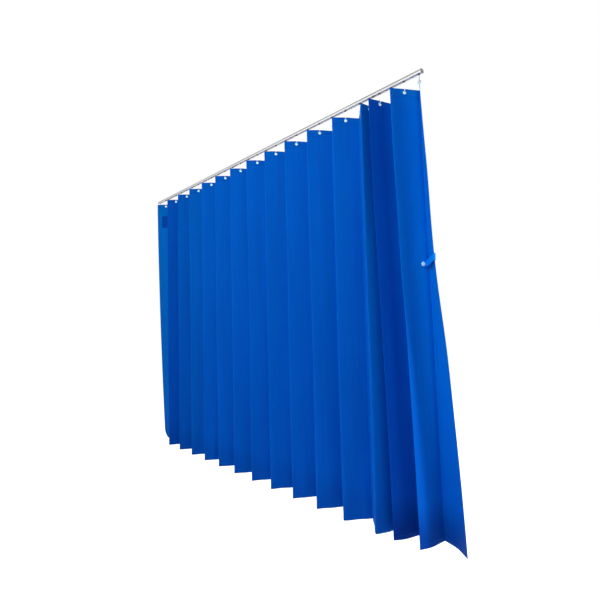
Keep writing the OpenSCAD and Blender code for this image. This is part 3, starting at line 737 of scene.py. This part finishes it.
def shell(name, flat, faces, place, normal, thick, seams, finishes):
    """A closed sheet of cloth from flat quads: front, back and rims, with stitches on both sides."""
    a, d = flat[:, 0], flat[:, 1]
    mid, n = place(a, d), normal(a, d)
    half = (thick(a, d) / 2)[:, None]
    points = [mid + n * half, mid - n * half]
    count = len(flat)
    made = list(faces) + [tuple(i + count for i in reversed(f)) for f in faces]
    used = {(p, q) for f in faces for p, q in zip(f, f[1:] + f[:1])}
    rim = [(p, q) for f in faces for p, q in zip(f, f[1:] + f[:1]) if (q, p) not in used]
    made += [(q, p, p + count, q + count) for p, q in rim]
    sharp = {tuple(sorted(e)) for p, q in rim for e in ((p, q), (p + count, q + count))}
    cloth_faces = len(made)
    more_points, more_faces, more_uvs = threads(seams, place, normal, thick, 2 * count)
    made += more_faces
    mesh = bpy.data.meshes.new(name)
    mesh.from_pydata(np.concatenate(points + more_points).tolist(), [], [list(f) for f in made])
    mesh.update()
    uv = np.concatenate([flat * (1, -1), flat * (1, -1)] + more_uvs)
    layer = mesh.uv_layers.new(name="UVMap")
    index = np.empty(len(mesh.loops), int)
    mesh.loops.foreach_get("vertex_index", index)
    layer.data.foreach_set("uv", uv[index].astype(np.float32).ravel())
    mesh.polygons.foreach_set("use_smooth", [True] * len(mesh.polygons))
    edge = mesh.attributes.new("sharp_edge", "BOOLEAN", "EDGE")
    edge.data.foreach_set("value", [tuple(sorted(e.vertices)) in sharp for e in mesh.edges])
    mesh.polygons.foreach_set("material_index", [0] * cloth_faces + [1] * len(more_faces))
    for finish in finishes:
        mesh.materials.append(bpy.data.materials[finish])
    obj = bpy.data.objects.new(name, mesh)
    bpy.context.scene.collection.objects.link(obj)
    return obj


def cloth_piece(name, a0, a1):
    """The curtain's cloth from distance a0 to a1 from its leading edge."""
    flat, faces = flat_mesh(a0, a1)
    return shell(name, flat, faces, cloth_point, cloth_normal, thickness, stitches(a0, a1),
                 ("curtain_cloth", "sewing_thread"))


# Operators

class CURTAIN_OT_materials(bpy.types.Operator):
    """Make the finishes that the pieces share"""

    bl_idname = "curtain.materials"
    bl_label = "Make finishes"

    def execute(self, context):
        c = colours()
        cloth_material("curtain_cloth", tuple(c.cloth))
        cloth_material("label_fabric", tuple(c.label), streaks=0.3, painted_fold_shading=False)
        webbing_material("strap_webbing", tuple(c.strap))
        thread_material("sewing_thread", shade(tuple(c.cloth), 1.05))
        thread_material("strap_thread", shade(tuple(c.strap), 0.9))
        hanger_material("hook_and_glider", tuple(c.plastic), tuple(c.glider), LAST_HOOK_X)
        powder_material("track_powder_coat", tuple(c.track))
        moulded_material("cap_moulding", tuple(c.cap))
        moulded_material("stud_moulding", shade(tuple(c.plastic), 1.25), 0.25)
        return {"FINISHED"}


class CURTAIN_OT_folds(bpy.types.Operator):
    """Hang the moving pleats, one piece of cloth for each crease"""

    bl_idname = "curtain.folds"
    bl_label = "Hang pleats"

    def execute(self, context):
        s = sizes()
        w = s.face_width
        for k in range(1, PANELS + 1):
            left, right = PANELS + 1 - k, PANELS - k
            a0 = 0.0 if k == 1 else (k - 0.5) * w
            a1 = (k + 0.5) * w if k < PANELS else (k + 1) * w + STACK_LAP
            piece = cloth_piece("pleat_cloth_%02d" % left, a0, a1)
            if k < PANELS:
                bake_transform(piece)
                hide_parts("panel_%02d" % left, "panel_%02d" % right)
            else:
                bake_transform(piece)
                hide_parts("panel_01")
        return {"FINISHED"}


class CURTAIN_OT_stack(bpy.types.Operator):
    """Hang the parked stack of pleats at the anchored end"""

    bl_idname = "curtain.stack"
    bl_label = "Hang parked stack"

    def execute(self, context):
        s = sizes()
        a0 = (PANELS + 1) * s.face_width + STACK_LAP
        a1 = FACES * s.face_width
        piece = cloth_piece("stack_drape", a0, a1)
        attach(piece, "curtain_root")
        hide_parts("stack_cloth")
        return {"FINISHED"}


def bezier(handles, u):
    """Point at share u of the curve that four handles make."""
    weights = ((1 - u) ** 3, 3 * u * (1 - u) ** 2, 3 * u * u * (1 - u), u ** 3)
    return sum(c * p for c, p in zip(weights, handles))


def strap_line(s):
    """Distances along the strap from its sewn end to its tip, with its plan point and its lift at each."""
    last = s.face_width * FACES
    at_edge = np.array([last, last - 0.2 * s.face_width])
    edge, inner = cloth_point(at_edge - 1e-7, np.full(2, STRAP_DROP - STRAP_RISE))[:, :2]
    way = (edge - inner) / np.linalg.norm(edge - inner)
    side = np.array((way[1], -way[0]))
    # Along the far side, then round the free edge.
    sewn = [edge - way * x - side * 0.0013 for x in (s.strap_sewn, 0.018, 0.006)]
    turn = edge + way * 1.5 * STRAP_TURN
    angles = np.radians(range(90, -91, -20))
    around = [turn + STRAP_TURN * (way * math.cos(a) - side * math.sin(a)) for a in angles]
    # Across to the fold of the tab, which lies flat on the stud's face.
    fold = np.array(JOINTS["strap_release"]["pos_m"][:2])
    out = around[-1]
    back = (out - fold) / np.linalg.norm(out - fold)
    handles = (out, out - way * STRAP_REACH + side * 0.003, fold + back * STRAP_REACH, fold)
    across = [bezier(handles, u) for u in np.linspace(0.06, 1.0, 18)]
    across.insert(-1, fold + back * 0.003)
    tab = [fold - STUD_HEADING * x for x in (0.003, 0.012, s.strap_tab / 2 + s.strap_height / 2)]
    line = np.array(sewn + around + across + tab)
    # Two rounds of cut corners make the line smooth.
    for _ in range(2):
        a, b = line[:-1], line[1:]
        cut = np.stack([a * 0.75 + b * 0.25, a * 0.25 + b * 0.75], 1).reshape(-1, 2)
        line = np.concatenate([line[:1], cut, line[-1:]])
    length = np.concatenate([[0.0], np.cumsum(np.linalg.norm(np.diff(line, axis=0), axis=1))])
    step = np.linspace(0.0, length[-1], int(length[-1] / 0.0012) + 1)
    line = np.stack([np.interp(step, length, line[:, i]) for i in (0, 1)], 1)
    stud = length[-1] - s.strap_height / 2
    edge_way = s.strap_sewn + math.pi * STRAP_TURN + 0.004
    return step, line, STRAP_RISE * np.clip((stud - step) / (stud - edge_way), -0.2, 1.0)


def strap_seams(s, total):
    """Stitches of the strap: along both edges, round its tip, and a crossed box on its sewn end."""
    h, half = s.strap_height, s.strap_height / 2
    pitch, inset = 0.0028, 0.0024
    stitch, radius = 0.7 * pitch, half - inset
    seams = [((a, d), (a + stitch, d)) for d in (inset, h - inset)
             for a in np.arange(inset, total - half - pitch, pitch)]
    for turn in np.arange(-0.5 * math.pi, 0.5 * math.pi, pitch / radius):
        seams.append(tuple((total - half + radius * math.cos(x), half + radius * math.sin(x))
                           for x in (turn, turn + stitch / radius)))
    box = (inset, s.strap_sewn - 0.004)
    seams += [((a, d), (a, d + stitch)) for a in box for d in np.arange(inset, h - inset - pitch, pitch)]
    for u in np.arange(0.04, 0.93, 0.08):
        ends = [(between(*box, x), inset + (h - 2 * inset) * x) for x in (u, u + 0.056)]
        seams.append(tuple(ends))
        seams.append(tuple((a, h - d) for a, d in ends))
    return seams


class CURTAIN_OT_strap(bpy.types.Operator):
    """Sew the tie-back strap to the free edge and bring it round to the press stud"""

    bl_idname = "curtain.strap"
    bl_label = "Sew strap"

    def execute(self, context):
        s = sizes()
        step, line, lift = strap_line(s)
        total, h, half = step[-1], s.strap_height, s.strap_height / 2
        last = s.face_width * FACES

        def place(a, d):
            plan = np.stack([np.interp(a, step, line[:, i]) for i in (0, 1)], 1)
            free = np.column_stack([plan, TOP_Z - STRAP_DROP + np.interp(a, step, lift) + half - d])
            # The sewn end lies on the far side of the cloth, whatever way the cloth leans there.
            on = np.minimum(last - s.strap_sewn + a, last - 0.0004)
            depth = STRAP_DROP - STRAP_RISE - half + d
            gap = s.band_thickness / 2 + s.strap_thickness / 2 + 0.0001
            sewn = cloth_point(on, depth) - cloth_normal(on, depth) * gap
            share = smooth((a - s.strap_sewn + 0.008) / 0.008)[:, None]
            return between(sewn, free, share)

        def normal(a, d):
            e = 4e-4
            along = place(np.minimum(a + e, total), d) - place(np.maximum(a - e, 0.0), d)
            down = place(a, np.minimum(d + e, h)) - place(a, np.maximum(d - e, 0.0))
            return unit(np.cross(down, along))

        def thick(a, d):
            rim = np.minimum.reduce([a, total - a, d, h - d])
            return s.strap_thickness * np.where(rim < 0.0002, 0.55, 1.0)

        def round_tip(a, d):
            """The tab's end is cut round, about the stud."""
            short = half - math.sqrt(max(half ** 2 - (d - half) ** 2, 0.0))
            reach = half + 0.003
            start = total - reach
            return a if a < start else start + (a - start) * (reach - short) / reach

        lines = [0.0, 0.0005, 0.0015, *np.linspace(0.003, h - 0.003, 13), h - 0.0015, h - 0.0005, h]
        cols = [0.0, 0.0005, *step[2:-2], total - 0.0005, total]
        flat, faces = grid(cols, lines)
        flat = np.array([(round_tip(a, d), d) for a, d in flat])
        piece = shell("tie_back_strap", flat, faces, place, normal, thick, strap_seams(s, total),
                      ("strap_webbing", "strap_thread"))
        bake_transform(piece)
        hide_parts("strap_band", "strap_tab")
        return {"FINISHED"}


class CURTAIN_OT_label(bpy.types.Operator):
    """Sew the plain label to the leading face"""

    bl_idname = "curtain.label"
    bl_label = "Sew label"

    def execute(self, context):
        low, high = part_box("label")
        w, h, t = LABEL_WIDTH, high[2] - low[2], LABEL_THICKNESS
        a0, d0 = LABEL_INSET, TOP_Z - high[2]
        cols = [0.0, 0.0006, *np.linspace(0.004, w - 0.004, 11), w - 0.0006, w]
        lines = [0.0, 0.0006, *np.linspace(0.004, h - 0.004, 19), h - 0.0006, h]
        flat, faces = grid([a0 + x for x in cols], [d0 + y for y in lines])

        def lifted(a, d):
            return cloth_point(a, d) + cloth_normal(a, d) * (sizes().cloth_thickness / 2 + t / 2 + 0.00002)

        def thick(a, d):
            rim = np.minimum.reduce([a - a0, a0 + w - a, d - d0, d0 + h - d])
            return np.where(rim < 0.0003, t * 0.5, t)

        seams = []
        pitch, inset = sizes().stitch_pitch, 0.003
        for i in range(int((w - 2 * inset) / pitch)):
            a = a0 + inset + i * pitch
            seams += [((a, d), (a + 0.7 * pitch, d)) for d in (d0 + inset, d0 + h - inset)]
        for i in range(int((h - 2 * inset) / pitch)):
            d = d0 + inset + i * pitch
            seams += [((a, d), (a, d + 0.7 * pitch)) for a in (a0 + inset, a0 + w - inset)]
        piece = shell("label_patch", flat, faces, lifted, cloth_normal, thick, seams,
                      ("label_fabric", "sewing_thread"))
        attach(piece, "pleat_%02d" % PANELS)
        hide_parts("label")
        return {"FINISHED"}


class CURTAIN_OT_fittings(bpy.types.Operator):
    """Finish the track, end caps, hangers and press stud"""

    bl_idname = "curtain.fittings"
    bl_label = "Finish fittings"

    def execute(self, context):
        finishes = (("hanger_", "hook_and_glider"), ("stack_hangers", "hook_and_glider"),
                    ("end_cap", "cap_moulding"), ("track", "track_powder_coat"), ("stud_", "stud_moulding"))
        for name, obj in NODES.items():
            for start, finish in finishes:
                if name.startswith(start):
                    for slot in obj.material_slots:
                        slot.material = bpy.data.materials[finish]
        return {"FINISHED"}


# The photograph's eye: place in metres, heading, tilt and roll in degrees, and the lens on a 36 mm sensor.
EYE = (2.005, -1.5589, -1.0837)
HEADING, TILT, ROLL, LENS = 44.58, 3.09, -1.43, 23.31
FLOOR_Z, FLOOR_HALF = -2.35, 30.0
# Name, place, point that it faces, power in watts and width in metres.
LAMPS = (("key_lamp", (1.2, -3.0, 0.8), (0.5, 0.0, -0.7), 70.0, 2.0),
         ("front_lamp", (0.2, -3.0, 0.2), (0.9, 0.0, -1.0), 22.0, 1.6),
         ("side_lamp", (4.2, 0.68, -0.2), (1.3, 0.0, -1.0), 115.0, 0.7),
         ("back_lamp", (0.6, 4.8, 0.8), (0.0, 0.0, -1.0), 90.0, 3.0))


def add_floor(scene):
    """A pale floor that looks white and keeps the object's shadow."""
    corners = [(x * FLOOR_HALF, y * FLOOR_HALF, FLOOR_Z) for x, y in ((-1, -1), (1, -1), (1, 1), (-1, 1))]
    mesh = bpy.data.meshes.new("floor")
    mesh.from_pydata(corners, [], [(0, 1, 2, 3)])
    floor = bpy.data.objects.new("floor", mesh)
    scene.collection.objects.link(floor)
    net = material_net("floor_white")
    plain = net.node("ShaderNodeBsdfDiffuse", {}, (0.82, 0.82, 0.82, 1.0))[0]
    glow = net.node("ShaderNodeEmission", {}, (1.0, 1.0, 1.0, 1.0), 0.68)[0]
    bright = net.node("ShaderNodeAddShader", {}, plain, glow)[0]
    both = net.node("ShaderNodeMixShader", {}, net.shows_background(), plain, bright)[0]
    net.node("ShaderNodeOutputMaterial", {}, both)
    mesh.materials.append(net.owner)


def add_world(scene):
    """A world that looks white and lights the object dimly."""
    scene.world = bpy.data.worlds.new("white_room")
    net = Net(scene.world)
    dim = net.node("ShaderNodeBackground", {}, (1.0, 1.0, 1.0, 1.0), 0.42)[0]
    white = net.node("ShaderNodeBackground", {}, (1.0, 1.0, 1.0, 1.0), 1.0)[0]
    both = net.node("ShaderNodeMixShader", {}, net.shows_background(), dim, white)[0]
    net.node("ShaderNodeOutputWorld", {}, both)


def add_lamps(scene):
    for name, place, aim, power, width in LAMPS:
        light = bpy.data.lights.new(name, "AREA")
        light.energy, light.size = power, width
        lamp = bpy.data.objects.new(name, light)
        lamp.location = place
        lamp.rotation_euler = (Vector(aim) - Vector(place)).to_track_quat("-Z", "Y").to_euler()
        scene.collection.objects.link(lamp)


def add_camera(scene):
    """The camera at the photograph's eye."""
    yaw, tilt, roll = (math.radians(x) for x in (HEADING, TILT, ROLL))
    forward = Vector((-math.sin(yaw) * math.cos(tilt), math.cos(yaw) * math.cos(tilt), math.sin(tilt)))
    level = Vector((math.cos(yaw), math.sin(yaw), 0.0))
    above = level.cross(forward)
    right = level * math.cos(roll) + above * math.sin(roll)
    up = above * math.cos(roll) - level * math.sin(roll)
    data = bpy.data.cameras.new("camera")
    data.lens, data.sensor_width, data.sensor_fit = LENS, 36.0, "AUTO"
    data.clip_end = 100.0
    camera = bpy.data.objects.new("camera", data)
    camera.matrix_world = Matrix.Translation(EYE) @ Matrix((right, up, -forward)).transposed().to_4x4()
    scene.collection.objects.link(camera)
    scene.camera = camera


class CURTAIN_OT_stage(bpy.types.Operator):
    """Set up floor, lamps, world and camera"""

    bl_idname = "curtain.stage"
    bl_label = "Set the stage"

    def execute(self, context):
        context.scene.view_settings.view_transform = "Standard"
        add_floor(context.scene)
        add_world(context.scene)
        add_lamps(context.scene)
        add_camera(context.scene)
        return {"FINISHED"}


class CURTAIN_PT_panel(bpy.types.Panel):
    """The curtain's sizes, colours and steps"""

    bl_idname = "CURTAIN_PT_panel"
    bl_label = "Cubicle curtain"
    bl_space_type = "VIEW_3D"
    bl_region_type = "UI"
    bl_category = "Curtain"

    def draw(self, context):
        for group in (context.scene.curtain_sizes, context.scene.curtain_colours):
            box = self.layout.box()
            for name in group.bl_rna.properties.keys():
                if name not in ("rna_type", "name"):
                    box.prop(group, name)
        for step in STEPS:
            self.layout.operator(step.bl_idname)


STEPS = (CURTAIN_OT_materials, CURTAIN_OT_folds, CURTAIN_OT_stack, CURTAIN_OT_strap, CURTAIN_OT_label,
         CURTAIN_OT_fittings, CURTAIN_OT_stage)
CLASSES = (CurtainSizes, CurtainColours, *STEPS, CURTAIN_PT_panel)


def register():
    for c in CLASSES:
        bpy.utils.register_class(c)
    bpy.types.Scene.curtain_sizes = PointerProperty(type=CurtainSizes)
    bpy.types.Scene.curtain_colours = PointerProperty(type=CurtainColours)


def unregister():
    del bpy.types.Scene.curtain_colours
    del bpy.types.Scene.curtain_sizes
    for c in reversed(CLASSES):
        bpy.utils.unregister_class(c)


def main():
    register()
    for step in STEPS:
        group, name = step.bl_idname.split(".")
        getattr(getattr(bpy.ops, group), name)()


if __name__ == "__main__":
    main()
